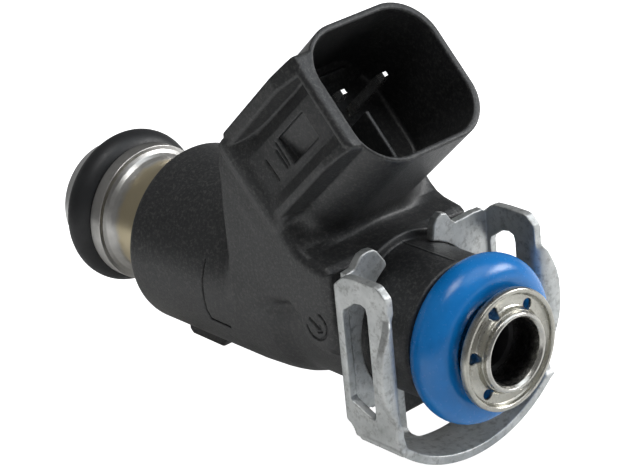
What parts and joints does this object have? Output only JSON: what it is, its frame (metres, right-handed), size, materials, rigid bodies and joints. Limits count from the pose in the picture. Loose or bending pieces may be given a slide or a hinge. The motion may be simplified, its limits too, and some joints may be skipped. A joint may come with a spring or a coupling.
{
  "type": "fuel injector",
  "caption": "Top-feed port fuel injector with an angled moulded connector, an O-ring at each end and a spring clip round the inlet neck.",
  "frame": {"origin": "on the injector axis, at the centre of the nozzle-side O-ring", "axes": "+X along the axis towards the fuel inlet, +Z towards the connector, +Y by the right-hand rule; the latch rails are on the -Y side"},
  "size_m": [0.0542, 0.021, 0.0367],
  "materials": {
    "nylon_black": "fine matt grain, glass-filled",
    "pin_tin": "bright tin plate",
    "steel_drawn": "drawn stainless",
    "filter_nylon": "moulded",
    "filter_mesh": "fine woven mesh",
    "steel_pressed": "pressed stainless, satin",
    "rubber_blue": "smooth, lightly dusted",
    "rubber_black": "smooth",
    "spring_steel": "drawn wire",
    "core_steel": "turned magnetic steel",
    "bobbin_nylon": "natural nylon",
    "winding_copper": "enamelled wire",
    "steel_tan": "turned stainless with a tan film, polished cove",
    "cap_silver": "dull silver",
    "seat_steel": "ground and hardened",
    "clip_zinc": "zinc-plated sheet, satin, handled"
  },
  "bodies": {
    "injector": {"overmold_body": "nylon_black", "terminal_a": "pin_tin", "terminal_b": "pin_tin", "inlet_tube": "steel_drawn", "inlet_filter_frame": "filter_nylon", "inlet_filter_screen": "filter_mesh", "o_ring_retainer": "steel_pressed", "upper_o_ring": "rubber_blue", "adjusting_sleeve": "steel_drawn", "return_spring": "spring_steel", "pole_piece": "core_steel", "coil_bobbin": "bobbin_nylon", "coil_winding": "winding_copper", "coil_housing": "core_steel", "flux_washer": "core_steel", "weld_sleeve": "steel_drawn", "valve_body": "steel_tan", "lower_o_ring": "rubber_black", "nozzle_cap": "cap_silver", "valve_seat": "seat_steel", "orifice_plate": "seat_steel", "needle_guide": "seat_steel", "retaining_clip": "clip_zinc"},
    "valve": {"armature": "core_steel", "needle_tube": "steel_drawn", "valve_ball": "seat_steel"}
  },
  "joints": [
    {"name": "valve_lift", "type": "slide", "parent": "injector", "child": "valve", "axis": [1, 0, 0], "range_m": [0, 0.0001], "stiffness_N_per_m": 2000, "springref_m": -0.0015, "deforming": ["return_spring"]}
  ]
}
